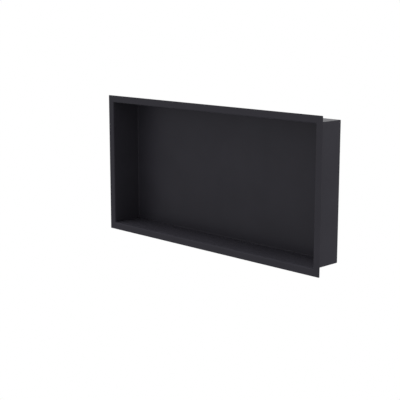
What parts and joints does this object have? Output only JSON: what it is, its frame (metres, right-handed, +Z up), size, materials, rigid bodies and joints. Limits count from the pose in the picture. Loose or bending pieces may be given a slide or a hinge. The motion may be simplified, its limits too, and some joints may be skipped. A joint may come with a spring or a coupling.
{
  "type": "shower niche insert",
  "caption": "Open-fronted rectangular wall niche of folded, black powder-coated sheet steel, with a flat flange round its mouth; sits in a wall cut-out as a recessed shower shelf.",
  "frame": {"origin": "middle of the opening, in the plane of the flange's rear face, which lies on the finished wall", "axes": "+X along the width, to the right as seen from the room; +Y into the wall, from the open front to the back panel; +Z up"},
  "size_m": [0.6, 0.073, 0.3],
  "materials": {
    "powder_coat": "matt black powder coat with a fine grain, on stainless sheet steel"
  },
  "bodies": {
    "root": {"niche_body": "powder_coat"}
  },
  "joints": []
}
